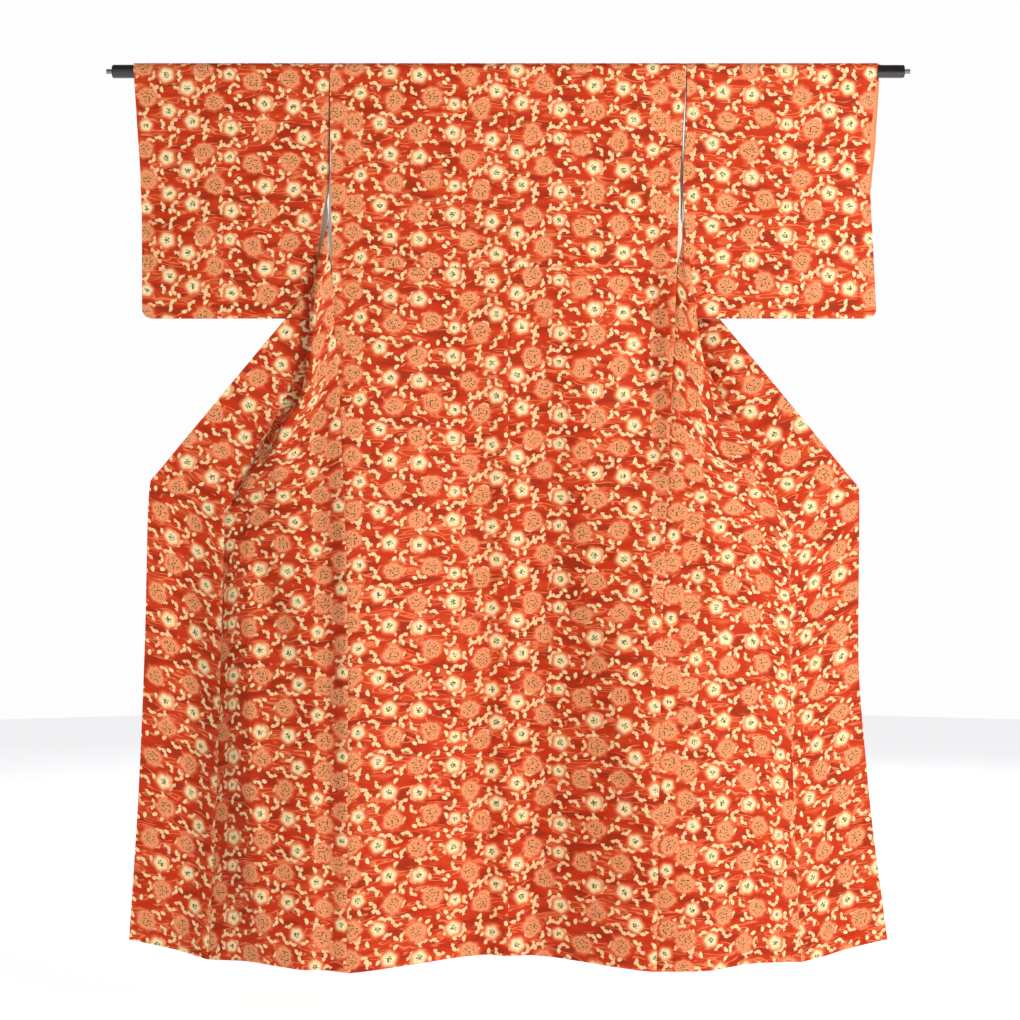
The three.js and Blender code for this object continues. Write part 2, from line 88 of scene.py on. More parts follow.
# The two halves. shoulder and slitX are half the back's width at the shoulder and at the slit's top,
# collarLean is in degrees, sag is how far the overlap seam hangs behind the straight, and farInner is the
# inner edge of the sleeve's far layer, as heights and places.
# rows: on each cut row of the front, the side seam, the near ridge and the hidden fold, each turn being
# the depth through which the cloth turns there.
# edge: the front edge, rise being how steeply the cut rows climb towards it.
# okumi: the overlap panel's seam, and the depth of the trough beside it.
# sleeve: its inner and outer edges, and how much further out the far layer's outer edge lies.
ROWS = "cut seamX seamY ridgeX ridgeY ridgeTurn foldX foldZ foldY foldTurn"
LEFT = {
    "name": "left",
    "side": -1,
    "shoulder": 306,
    "slitX": 304,
    "collarLean": 40.2,
    "sag": 0,
    "farInner": (
        [-425, -400, -341, -300, -245, -225, -205, 0],
        [334, 325, 318, 314, 310, 312, 310.5, 307],
    ),
    "rows": named(ROWS, [
        [0, 306, 13, 262, 13, 0, 106, -34, 13, 3],
        [60, 306, 13, 262, 13, 0, 106, -94, 15, 5],
        [120, 306, 13, 264, 14, 0, 112, -186, 16, 7],
        [190, 306, 11, 268, 12, 0, 130, -261, 15, 8],
        [300, 309, -5, 309, -7, 1, 165, -366, 5, 9],
        [338, 308, -9, 321, -17, 5, 180, -401, 3, 9],
        [375, 305, -12, 327, -26, 11.5, 195, -435, 0, 9],
        [431, 301, -17, 336, -32, 17.5, 222, -482, -5, 8],
        [500, 297, -22, 341, -36, 20, 262, -540, -9, 8],
        [560, 292, -27, 350, -39, 20, 305, -584, -13, 8],
        [620, 288, -30, 386, -38, 14, 366, -620, -17, 8],
        [680, 285, -36, 404, -38, 9, 414, -664, -20, 8],
        [740, 282, -42, 402, -37, 7, 444, -710, -20, 8],
        [805, 279, -48, 398, -38, 5, 448, -757, -18, 10],
        [900, 274, -56, 366, -44, 4, 452, -842, -18, 12],
        [1130, 270, -70, 342, -62, 4, 448, -1066, -30, 14],
        [1370, 270, -80, 336, -82, 3, 440, -1300, -42, 12],
        [1595, 272, -86, 334, -94, 2, 438, -1521, -46, 8],
    ]),
    "edge": named("cut x z y rise", [
        [0, 88, -52, 13, 0.2],
        [60, 127, -116, 18, 0.4],
        [190, 209, -223, 22, 0.49],
        [300, 282, -309, 4, 0.49],
        [375, 332, -367, -10, 0.49],
        [431, 369, -411, -12, 0.49],
        [500, 415, -465, -11, 0.49],
        [620, 494, -559, -6, 0.49],
        [790, 606, -692, 5, 0.475],
        [805, 616, -704, 6, 0.47],
        [865, 621, -760, 10, 0.44],
        [1070, 627, -970, 16, 0.36],
        [1320, 638, -1219, 22, 0.3],
        [1595, 656, -1497, 26, 0.2],
    ]),
    "okumi": named("cut x y troughY", [
        [805, 488, 2, 8],
        [900, 490, 12, 16],
        [1130, 497, 10, 20],
        [1370, 505, 0, 22],
        [1595, 516, -10, 20],
    ]),
    "sleeve": named("z inner outer farExtra", [
        [-425, 334, 629.5, 0],
        [-341, 329, 629.5, 0],
        [-245, 317, 630, 0],
        [-187, 306.5, 631, 0],
        [-100, 306.5, 636, 0],
        [14, 306.5, 643, 0],
    ]),
}
RIGHT = {
    "name": "right",
    "side": 1,
    "shoulder": 306,
    "slitX": 294,
    "collarLean": 39.4,
    "sag": 12,
    "farInner": (
        [-425, -400, -341, -265, -235, -187, 0],
        [315, 310, 304, 300, 305, 303.5, 307],
    ),
    "rows": named(ROWS, [
        [0, 306, 13, 262, 13, 0, 106, -34, 13, 3],
        [60, 303, 13, 262, 13, 0, 106, -94, 15, 5],
        [120, 301, 13, 262, 14, 0, 112, -186, 16, 7],
        [190, 301, 11, 262, 12, 0, 128, -261, 15, 8],
        [300, 299, 0, 299, -3, 1, 146, -366, 10, 9],
        [338, 298, -5, 306, -10, 4, 156, -401, 8, 10],
        [375, 294, -9, 311, -17, 8, 166, -435, 6, 10],
        [431, 288, -15, 318, -23, 12, 186, -482, 3, 11],
        [500, 285, -20, 328, -30, 14, 220, -540, -3, 11],
        [560, 282, -25, 343, -35, 15, 262, -586, -7, 11],
        [620, 279, -30, 358, -38, 12, 316, -630, -12, 10],
        [680, 276, -36, 382, -39, 10, 380, -672, -16, 9],
        [740, 273, -42, 396, -38, 8, 422, -715, -18, 8],
        [805, 270, -48, 380, -40, 5, 432, -760, -18, 10],
        [900, 265, -56, 350, -48, 4, 430, -845, -22, 10],
        [1130, 258, -68, 330, -66, 4, 424, -1068, -38, 8],
        [1370, 253, -78, 326, -84, 3, 420, -1302, -50, 8],
        [1595, 250, -84, 326, -96, 2, 420, -1523, -54, 6],
    ]),
    "edge": named("cut x z y rise", [
        [0, 88, -52, 13, 0.2],
        [60, 125, -118, 18, 0.4],
        [190, 204, -229, 24, 0.49],
        [300, 276, -316, 20, 0.49],
        [431, 361, -420, 12, 0.49],
        [620, 484, -570, 0, 0.49],
        [790, 594, -704, 5, 0.475],
        [805, 604, -716, 6, 0.47],
        [865, 605, -772, 10, 0.44],
        [1070, 604, -980, 16, 0.36],
        [1320, 622, -1228, 22, 0.3],
        [1595, 656, -1497, 26, 0.2],
    ]),
    "okumi": named("cut x y troughY", [
        [805, 478, -6, 4],
        [900, 482, -8, 10],
        [1130, 486, -12, 16],
        [1370, 492, -16, 18],
        [1595, 502, -20, 18],
    ]),
    "sleeve": named("z inner outer farExtra", [
        [-425, 315, 633, 0],
        [-341, 311, 629, 0],
        [-245, 301, 624, 0],
        [-187, 299.5, 620, 5],
        [-118, 302.5, 622, 10],
        [-58, 305, 627, 9],
        [14, 306.5, 634, 6.5],
    ]),
}
# The back's depth at the centre seam and halfway to the side seam
BACK_DEPTH = named("z centre middle", [
    [-1540, 34, -26],
    [-1050, 10, -24],
    [-700, -4, -18],
    [-350, -12, -14],
    [0, -13, -13],
])

# Creases that run down the cloth: how far each reaches to the left and right of its line, and then the
# line's heights from below, its x there, and its depth there, above zero a trough and below zero a ridge
CREASES = [
    ((25, 36), [-1540, -1200, -750, -330], [-3, -4, -5, -5], [-21, -16, -9, -3]),
    (
        (30, 50),
        [-1500, -1356, -1081, -840, -445, -300], [292, 268, 182, 129, 101, 96], [-6, -7, -6, -6, -5, -2],
    ),
    ((56, 26), [-760, -560, -400, -300], [250, 246, 242, 238], [7, 20, 22, 8]),
    ((12, 26), [-640, -560, -440], [352, 340, 328], [5, 9, 6]),
    ((26, 38), [-980, -880, -790], [356, 352, 346], [-6, -14, -6]),
    ((22, 48), [-1500, -1250, -1000, -880], [540, 534, 528, 524], [-15, -16, -12, -3]),
    ((34, 22), [-1500, -1250, -1000, -880], [486, 482, 478, 474], [5, 6, 4, 0]),
    ((20, 70), [-1540, -1200, -800, -560], [-270, -268, -273, -281], [-9, -10, -10, -5]),
    ((34, 16), [-1540, -1200, -800, -620], [-306, -304, -310, -316], [5, 7, 7, 1]),
    ((40, 34), [-1500, -1400, -1081, -900, -780], [-405, -428, -470, -480, -488], [-8, -13, -13, -12, -4]),
    ((26, 30), [-1420, -1200, -950, -780], [-542, -552, -560, -564], [4, 8, 9, 3]),
    ((26, 22), [-1120, -978, -875, -789], [-348, -383, -420, -446], [1, 8, 10, 3]),
    ((30, 46), [-1540, -1300, -1100], [-150, -140, -132], [-4, -4, 0]),
    ((40, 26), [-700, -520, -360], [-132, -126, -120], [0, 4, 0]),
    ((30, 40), [-330, -200, -60], [-198, -190, -186], [0, 2.4, 0]),
    ((40, 30), [-330, -200, -60], [150, 158, 162], [0, 2.4, 0]),
]
CREASE_END = 100  # a crease eases to nothing over this length past each end
CALM_TOP = (30, 120)  # no crease down to the first, and then they grow over the second


def mix(a, b, share):
    """The value that lies the given share of the way from a to b."""
    return a + (b - a) * share


def ease(t):
    """A smooth step: t is held between 0 and 1 and becomes t squared times (3 - 2t)."""
    t = np.clip(t, 0, 1)
    return t * t * (3 - 2 * t)


def take(array, index):
    """The entry of each row at that row's own index."""
    return np.take_along_axis(array, index[..., None] if array.ndim == 3 else index, axis=1)


def hermite(knots, values, places):
    """Smooth curves through the values at the knots, one curve a row. Each knot's slope is the harmonic
    mean of the slopes on its two sides, or none where they differ in sign, so that no curve
    overshoots."""
    slopes = np.diff(values, axis=1) / np.diff(knots, axis=1)[..., None]
    before, after = slopes[:, :-1], slopes[:, 1:]
    alike = before * after > 0
    inner = np.where(alike, 2 * before * after / np.where(alike, before + after, 1), 0)
    tangents = np.concatenate([slopes[:, :1], inner, slopes[:, -1:]], axis=1)
    places = np.clip(places, knots[:, :1], knots[:, -1:])
    span = (places[:, :, None] >= knots[:, None, 1:-1]).sum(axis=2)
    width = (take(knots, span + 1) - take(knots, span))[..., None]
    t = (places - take(knots, span))[..., None] / width
    start, end = take(values, span), take(values, span + 1)
    out, back = take(tangents, span), take(tangents, span + 1)
    rest = 1 - t
    return (
        start * (1 + 2 * t) * rest**2
        + end * t * t * (3 - 2 * t)
        + width * (out * t * rest**2 - back * t * t * rest)
    )


def table_value(table, key, place, column):
    """Value of one column of a table at places on its key column, on the same smooth curve."""
    place = np.asarray(place, float)
    knots = table[key][None]
    values = table[column][None, :, None]
    return hermite(knots, values, place.reshape(1, -1))[0, :, 0].reshape(place.shape)


def point(x, y, z):
    """Points with the given coordinates, stretched to one shape."""
    return np.stack(np.broadcast_arrays(x, y, z), axis=-1).astype(float)


OVER_ROD = 2.5  # the cloth over the rod, as the side seam's length is counted
SLIT_END_Z = ROD_RADIUS + OVER_ROD + FAR_SLIP - SLIT_END


def seam_height(cut):
    """Height of the side seam: one to one below the slit's end, and in an even slope above it."""
    above = mix(SHOULDER_Z, SLIT_END_Z, cut / SLIT_END)
    return np.where(cut < SLIT_END, above, SLIT_END_Z + SLIT_END - cut)


def edge_points(half, cut):
    """The front edge: the collar's seam down to the collar's end, then the overlap panel's edge, by
    table."""
    return point(*(table_value(half["edge"], "cut", cut, column) for column in "xyz"))


def okumi_points(half, cut):
    """The seam of front and overlap panel: straight but for its sag, half a sine wave, in the turned part
    above the collar's end, then by table."""
    edge = edge_points(half, cut)
    rise = table_value(half["edge"], "cut", cut, "rise")
    okumi = half["okumi"]
    share = np.clip((cut - OKUMI_TIP) / (CLIP_CUT - OKUMI_TIP), 0, 1)
    tip = edge_points(half, np.array([float(OKUMI_TIP)]))[0]
    x = np.where(cut < CLIP_CUT, mix(tip[0], okumi["x"][0], share), table_value(okumi, "cut", cut, "x"))
    y = np.where(
        cut < CLIP_CUT,
        mix(edge[:, 1], okumi["y"][0], share**2) + half["sag"] * np.sin(np.pi * share),
        table_value(okumi, "cut", cut, "y"),
    )
    seam = point(x, y, edge[:, 2] - rise * (edge[:, 0] - x))
    return np.where((cut <= OKUMI_TIP)[:, None], edge, seam)


# How each stretch between two stations of a front row is divided, from the side seam to the overlap seam.
TURN = 8
FINE_START = [0, 0.04, 0.12, 0.3, 0.6]
FINE_END = [0, 0.3, 0.6, 0.84, 0.95, 1]
STRETCHES = [FINE_START, 5, 4, 4, 5, 5, 3, 3, 6, 6, FINE_END]


def front_stations(half, cut):
    """Twelve places on each cut row of the front: the side seam, the near ridge with the cloth turning
    through its depth there, the hidden fold with its turn, and out to the overlap seam."""
    value = {name: table_value(half["rows"], "cut", cut, name) for name in ROWS.split()[1:]}
    end = okumi_points(half, cut)
    seam = point(value["seamX"], value["seamY"], seam_height(cut))
    ridge_x, fold_x = value["ridgeX"], value["foldX"]
    approach = TURN * np.clip((ridge_x - seam[:, 0]) / (2 * TURN), -1, 1)
    retreat = TURN * np.clip((ridge_x - fold_x) / (2 * TURN), -1, 1)
    onward = TURN * np.clip((end[:, 0] - fold_x) / (2 * TURN), -1, 1)
    to_ridge = np.abs(ridge_x - seam[:, 0])
    to_fold = np.abs(ridge_x - fold_x)
    ridge_z = mix(seam[:, 2], value["foldZ"], to_ridge / (to_ridge + to_fold))
    ridge_y, turn = value["ridgeY"], value["ridgeTurn"]
    fold_y, fold_turn, fold_z = value["foldY"], value["foldTurn"], value["foldZ"]
    near = point(ridge_x - approach, ridge_y, ridge_z)
    tip = point(ridge_x, ridge_y + turn / 2, ridge_z)
    far = point(ridge_x - retreat, ridge_y + turn, ridge_z)
    fold_near = point(fold_x + retreat, fold_y - fold_turn / 2, fold_z)
    fold_tip = point(fold_x, fold_y, fold_z)
    fold_far = point(fold_x + onward, fold_y + fold_turn / 2, fold_z)
    to_near, to_folded = mix(seam, near, 0.5), mix(far, fold_near, 0.5)
    thirds = mix(fold_far, end, 1 / 3), mix(fold_far, end, 2 / 3)
    stations = [seam, to_near, near, tip, far, to_folded, fold_near, fold_tip, fold_far, *thirds, end]
    return np.stack(stations, axis=1)


def along(stations, stretches):
    """Points on smooth curves through the stations, and how far along the cloth each lies. Each stretch
    between two stations is a number of even parts or a list of shares."""
    lengths = np.maximum(np.linalg.norm(np.diff(stations, axis=1), axis=2), 1e-3)
    knots = np.concatenate([np.zeros((len(lengths), 1)), np.cumsum(lengths, axis=1)], axis=1)
    places = []
    for i, parts in enumerate(stretches):
        shares = np.arange(parts) / parts if isinstance(parts, int) else np.array(parts)
        places.append(knots[:, i:i + 1] + shares[None] * lengths[:, i:i + 1])
    places = np.concatenate(places, axis=1)
    return hermite(knots, stations, places), places


def back_rows(half, cut, share):
    """The back, from the centre seam out to the side seam. Across it the height follows a parabola. The
    depth passes smoothly from the centre's to the side's, with a low arch that brings the middle to its
    own."""
    shrink = (HEM_CENTRE - WRAP) / (FAR_SLIP - BODY_LENGTH)
    centre_z = WRAP - (cut - FAR_SLIP) * shrink
    side_z = WRAP - (cut - FAR_SLIP)
    rows = half["rows"]
    slit_share = np.clip((cut - FAR_SLIP) / (SLIT_TOP - FAR_SLIP), 0, 1)
    below_top = np.clip((cut - SLIT_TOP) / (SLIT_END - SLIT_TOP), 0, 1)
    seam_x = table_value(rows, "cut", np.maximum(cut, SLIT_END), "seamX")
    side_x = mix(mix(half["shoulder"], half["slitX"], slit_share), seam_x, below_top)
    seam_y = table_value(rows, "cut", np.maximum(cut, SLIT_END), "seamY")
    side_y = mix(-WRAP, seam_y, np.clip(cut / SLIT_END, 0, 1))
    s = share[None]
    z = mix(centre_z[:, None], side_z[:, None], s * s)
    centre_y = table_value(BACK_DEPTH, "z", z, "centre")
    middle_y = table_value(BACK_DEPTH, "z", z, "middle")
    straight = mix(centre_y, side_y[:, None], s * s * (3 - 2 * s))
    lift = middle_y - (centre_y + side_y[:, None]) / 2
    return point(side_x[:, None] * s, straight + lift * 2 * s * (1 - s), z)


def relief(x, z):
    """Depth that the creases add at a place: each is a bell across its line, with a reach of its own on
    each side, and eases to nothing past its two ends."""
    depth = np.zeros_like(x)
    for (left, right), heights, line, depths in CREASES:
        off = x - np.interp(z, heights, line)
        bell = np.exp(-((off / np.where(off < 0, left, right)) ** 2))
        foot = ease((z - heights[0] + CREASE_END) / CREASE_END)
        head = ease((heights[-1] + CREASE_END - z) / CREASE_END)
        depth += np.interp(z, heights, depths) * bell * (foot * head)
    return depth * ease((-z - CALM_TOP[0]) / CALM_TOP[1])


def pinch(distance, width=2.8, depth=1.7):
    """How far the cloth is drawn in beside a seam: most at the seam, and nothing a few widths from it."""
    return depth * np.exp(-((distance / width) ** 2))


def normals(grid):
    """Unit normal at each grid point: the cross product of the directions along the columns and the
    rows."""
    cross = np.cross(np.gradient(grid, axis=0), np.gradient(grid, axis=1))
    return cross / np.maximum(np.linalg.norm(cross, axis=2, keepdims=True), 1e-9)


def shell(name, grid, uv, thickness, outward, materials, tint, slot):
    """A closed wall of cloth: the grid moved half the thickness to both sides along its normals, and
    joined round its edge. Outer side, inner side and edge have a material each. outward is 1 or -1, the
    side of the grid's normals that faces out, and slot holds a material slot's name, which is not used,
    and the solid that the piece stands for, whose part is hidden."""
    rows, columns = grid.shape[:2]
    offset = normals(grid) * outward * thickness / 2
    points = np.concatenate([(grid + offset).reshape(-1, 3), (grid - offset).reshape(-1, 3)]) * MM
    index = np.arange(rows * columns).reshape(rows, columns)
    corners = [index[:-1, :-1], index[1:, :-1], index[1:, 1:], index[:-1, 1:]]
    quads = np.stack(corners, axis=-1).reshape(-1, 4)
    ring = np.concatenate([index[0, :-1], index[:-1, -1], index[-1, :0:-1], index[:0:-1, 0]])
    after = np.roll(ring, -1)
    total = rows * columns
    rim = np.stack([ring, after, after + total, ring + total], axis=1)
    faces = np.concatenate([quads, quads[:, ::-1] + total, rim])
    if outward < 0:
        faces = faces[:, ::-1]
    mesh = bpy.data.meshes.new(name)
    mesh.vertices.add(len(points))
    mesh.vertices.foreach_set("co", points.ravel())
    mesh.loops.add(faces.size)
    mesh.loops.foreach_set("vertex_index", faces.ravel())
    mesh.polygons.add(len(faces))
    mesh.polygons.foreach_set("loop_start", np.arange(len(faces)) * 4)
    side = np.repeat([0, 1, 2], [len(quads), len(quads), len(rim)])
    for material in materials:
        mesh.materials.append(material)
    mesh.polygons.foreach_set("material_index", side)
    mesh.polygons.foreach_set("use_smooth", side < 2)
    mesh.update(calc_edges=True)
    flat = np.concatenate([uv.reshape(-1, 2)] * 2)
    mesh.uv_layers.new(name="cut").data.foreach_set("uv", flat[faces.ravel()].ravel())
    shade = mesh.attributes.new("tint", "FLOAT", "POINT")
    shade.data.foreach_set("value", np.concatenate([tint.ravel()] * 2))
    edges = np.empty(len(mesh.edges) * 2, int)
    mesh.edges.foreach_get("vertices", edges)
    edges = np.sort(edges.reshape(-1, 2), axis=1)
    code = edges[:, 0] * 2 * total + edges[:, 1]
    border = np.sort(np.stack([ring, after], axis=1), axis=1)
    rims = np.concatenate([border, border + total])
    sharp = rims[:, 0] * 2 * total + rims[:, 1]
    mark = mesh.attributes.new("sharp_edge", "BOOLEAN", "EDGE")
    mark.data.foreach_set("value", np.isin(code, sharp))
    mesh.validate()
    piece = bpy.data.objects.new(name, mesh)
    bpy.context.scene.collection.objects.link(piece)
    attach(piece, "root")
    slot_name, stands_for = slot
    if stands_for:
        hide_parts(stands_for)
    return piece


def colour(code):
    """An sRGB hex code as linear red, green and blue."""
    parts = np.array([int(code[i:i + 2], 16) for i in (1, 3, 5)]) / 255
    linear = np.where(parts <= 0.04045, parts / 12.92, ((parts + 0.055) / 1.055) ** 2.4)
    return (*linear.tolist(), 1.0)


# Kinds of node: the type, its settings, the inputs that values go to in order, and the output. The maths
# nodes go by their operation's name, with VECTOR_ before it where they take vectors.
KINDS = {
    "blend": ("ShaderNodeMix", {"data_type": "RGBA"}, (0, 6, 7), 2),
    "choose": ("ShaderNodeMix", {"data_type": "VECTOR"}, (0, 4, 5), 1),
    "smooth": ("ShaderNodeMapRange", {"interpolation_type": "SMOOTHSTEP"}, (0, 1, 2), 0),
    "range": ("ShaderNodeMapRange", {}, (0, 1, 2, 3, 4), 0),
    "ramp": ("ShaderNodeValToRGB", {}, (0,), 0),
    "split": ("ShaderNodeSeparateXYZ", {}, (0,), 0),
    "chance": ("ShaderNodeTexWhiteNoise", {"noise_dimensions": "3D"}, (0,), 0),
    "chances": ("ShaderNodeTexWhiteNoise", {"noise_dimensions": "3D"}, (0,), 1),
    "noise": ("ShaderNodeTexNoise", {}, ("Vector", "Scale", "Detail"), 0),
    "flat noise": ("ShaderNodeTexNoise", {"noise_dimensions": "2D"}, ("Vector", "Scale", "Detail"), 0),
    "bump": ("ShaderNodeBump", {}, ("Height", "Strength", "Distance"), 0),
    "cut place": ("ShaderNodeUVMap", {"uv_map": "cut"}, (), 0),
    "object place": ("ShaderNodeTexCoord", {}, (), 3),
    "tint": ("ShaderNodeAttribute", {"attribute_name": "tint"}, (), 2),
    "camera ray": ("ShaderNodeLightPath", {}, (), 0),
}
for name in "ADD SUBTRACT MULTIPLY MULTIPLY_ADD DIVIDE POWER ABSOLUTE COSINE ARCTAN2 WRAP PINGPONG".split():
    KINDS[name] = ("ShaderNodeMath", {"operation": name}, (0, 1, 2), 0)
for name in "LESS_THAN MINIMUM".split():
    KINDS[name] = ("ShaderNodeMath", {"operation": name}, (0, 1), 0)
for name in "ADD SUBTRACT MULTIPLY MULTIPLY_ADD FLOOR WRAP".split():
    KINDS["VECTOR_" + name] = ("ShaderNodeVectorMath", {"operation": name}, (0, 1, 2), 0)
for name in "LENGTH DISTANCE".split():
    KINDS["VECTOR_" + name] = ("ShaderNodeVectorMath", {"operation": name}, (0, 1), 1)


def fill(tree, node, values):
    """Links or sets a node's inputs."""
    for place, value in values.items():
        if isinstance(value, bpy.types.NodeSocket):
            tree.links.new(value, node.inputs[place])
        else:
            node.inputs[place].default_value = value


def add(tree, kind, *values, stops=()):
    """Adds a node of a kind, links or sets its inputs in order, and gives its output. stops are a colour
    ramp's places and colours."""
    node_type, settings, inputs, output = KINDS[kind]
    node = tree.nodes.new(node_type)
    for name, value in settings.items():
        setattr(node, name, value)
    fill(tree, node, dict(zip(inputs, values)))
    for i, (place, shade) in enumerate(stops):
        elements = node.color_ramp.elements
        element = elements[i] if i < 2 else elements.new(place)
        element.position = place
        element.color = shade
    return node.outputs[output]


# The print's repeat on the flat cloth: nearly the bolt's width across, and 141 mm along
REPEAT = (348.0, 141.0)
# Middles of the plum blossoms and of the round chrysanthemums in one repeat
PLUMS = [
    (19, -34), (52, -86), (70, -139), (120, -3), (180, -53), (252, -30), (288, -52), (177, -102),
    (244, -114), (284, -132), (323, -107),
]
ROUNDS = [
    (76, -47), (141, -41), (116, -99), (225, -62), (205, -6), (7, -83), (7, -131), (322, -14), (327, -66),
]
# Chains of petals, in two layers: cells across and along the repeat, the cells' shift, the radius of a
# chain's curve, the least and most radians that it runs to both sides, the petals' half width, and the
# layer's seed
CHAINS = [
    ((12, 5), (0.1, 0.3), 8.2, (0.55, 1.7), 3.2, 3.0),
    ((12, 6), (0.55, 0.75), 7.2, (0.55, 1.5), 3.1, 12.0),
]
FULL_TURN = 6.28

# Dyes of the print
GROUND = colour("#BE2E08")
GROUND_DEEP = colour("#A22A06")
GROUND_WARM = colour("#C84012")
LINE = colour("#E2764A")
MIST = colour("#D4562C")
CREAM = colour("#F5D49C")
WHITE = colour("#FDECC4")
STRAW = colour("#EEC088")
PEACH = colour("#EE9460")
PALE_PEACH = colour("#F3A878")
CORAL = colour("#DE6A40")
OLIVE = colour("#6A4E1E")
LEAF = colour("#7E7E48")
UMBER = colour("#64280C")
HEART = colour("#BDBC7C")
HEART_EDGE = colour("#DACF94")


def nearest(tree, place, middles):
    """Vector from the nearest of the middles to the place, and that middle. For each middle the place is
    wrapped into the repeat that has this middle in its centre."""
    best = middles[0] + (0,)
    least = 1e6
    half = (REPEAT[0] / 2, REPEAT[1] / 2, 1)
    for x, y in middles:
        high = (x + half[0], y + half[1], 1)
        low = (x - half[0], y - half[1], -1)
        here = add(tree, "VECTOR_WRAP", place, high, low)
        distance = add(tree, "VECTOR_DISTANCE", here, (x, y, 0))
        best = add(tree, "choose", add(tree, "LESS_THAN", distance, least), best, (x, y, 0))
        least = add(tree, "MINIMUM", distance, least)
    high = add(tree, "VECTOR_ADD", best, half)
    low = add(tree, "VECTOR_SUBTRACT", best, half)
    here = add(tree, "VECTOR_WRAP", place, high, low)
    return add(tree, "VECTOR_SUBTRACT", here, best), best


def polar(tree, vector):
    """Length and angle of a vector on the cloth."""
    x = add(tree, "split", vector)
    return add(tree, "VECTOR_LENGTH", vector), add(tree, "ARCTAN2", x.node.outputs[1], x)


def lobes(tree, angle, turn, count, low, high):
    """A cosine that swings between low and high, count times round."""
    swing = add(tree, "COSINE", add(tree, "MULTIPLY", add(tree, "ADD", angle, turn), count))
    return add(tree, "MULTIPLY_ADD", swing, (high - low) / 2, (high + low) / 2)


def soft_noise(tree, place, stretch, detail, shift=(0, 0, 0)):
    """Noise over the flat cloth, drawn out by stretches given as shares of a millimetre."""
    return add(tree, "flat noise", add(tree, "VECTOR_MULTIPLY_ADD", place, stretch, shift), 1.0, detail)


def petal_chains(tree, place, counts, shift, radius, reach, thick, seed):
    """Short curved chains of petals, one in each cell of the repeat: arcs of a circle, as wide as a power
    of a cosine along them, each moved, turned and cut to a length by its cell's number. Gives how much of
    a petal and of its shadow lies at the place, and the cell's share, from 0 to 1."""
    size = (REPEAT[0] / counts[0], REPEAT[1] / counts[1], 1)
    grid = add(tree, "VECTOR_MULTIPLY_ADD", place, (1 / size[0], 1 / size[1], 0), (*shift, 0.5))
    cell = add(tree, "VECTOR_FLOOR", grid)
    number = add(tree, "VECTOR_WRAP", cell, (*counts, 1), (0, 0, 0))
    seeded = add(tree, "VECTOR_ADD", number, (seed, seed * 0.7, seed))
    chances = add(tree, "chances", seeded)
    share = add(tree, "chance", seeded)
    centred = add(tree, "VECTOR_SUBTRACT", add(tree, "VECTOR_SUBTRACT", grid, cell), (0.5, 0.5, 0.5))
    scaled = add(tree, "VECTOR_MULTIPLY", centred, (size[0], size[1], 0))
    spare = max(min(size[:2]) / 2 - radius - thick, 0.5) * 2
    moved = add(tree, "VECTOR_MULTIPLY_ADD", chances, (spare, spare, 0), scaled)
    local = add(tree, "VECTOR_SUBTRACT", moved, (spare / 2, spare / 2, 0))
    length, angle = polar(tree, local)
    third = add(tree, "split", chances).node.outputs[2]
    turned = add(tree, "WRAP", add(tree, "MULTIPLY_ADD", third, 2 * np.pi, angle), np.pi, -np.pi)
    allowed = add(tree, "MULTIPLY_ADD", share, reach[1] - reach[0], reach[0])
    left_over = add(tree, "SUBTRACT", allowed, add(tree, "ABSOLUTE", turned))
    ends = add(tree, "smooth", left_over, 0.0, 0.14)
    swing = add(tree, "COSINE", add(tree, "MULTIPLY", turned, np.pi * radius / (2.9 * thick)))
    bulge = add(tree, "POWER", add(tree, "ABSOLUTE", swing), 0.45)
    width = add(tree, "MULTIPLY_ADD", bulge, thick * 0.85, thick * 0.15)
    masks = []
    for middle, wider in ((radius, 0.0), (radius - 1.6, 0.9)):
        off = add(tree, "ABSOLUTE", add(tree, "SUBTRACT", length, middle))
        mask = add(tree, "smooth", add(tree, "SUBTRACT", width, off), -0.7 - wider, 0.5)
        masks.append(add(tree, "MULTIPLY", mask, ends))
    return (*masks, share)


def streaked_ground(tree, cloud, drift):
    """The ground: cloudy bands of three reds, mist, and thin lines where a noise passes through even
    steps."""
    base = add(tree, "ramp", cloud, stops=[(0.32, GROUND_DEEP), (0.45, GROUND), (0.78, GROUND_WARM)])
    base = add(tree, "blend", add(tree, "smooth", drift, 0.64, 0.78), base, MIST)
    for field, steps, other, start in ((cloud, 5.0, drift, 0.45), (drift, 4.0, cloud, 0.52)):
        contour = add(tree, "PINGPONG", add(tree, "MULTIPLY", field, steps), 0.5)
        shown = add(tree, "smooth", other, start, start + 0.12)
        thread = add(tree, "MULTIPLY", add(tree, "smooth", contour, 0.13, 0.06), shown)
        base = add(tree, "blend", thread, base, LINE)
    return base


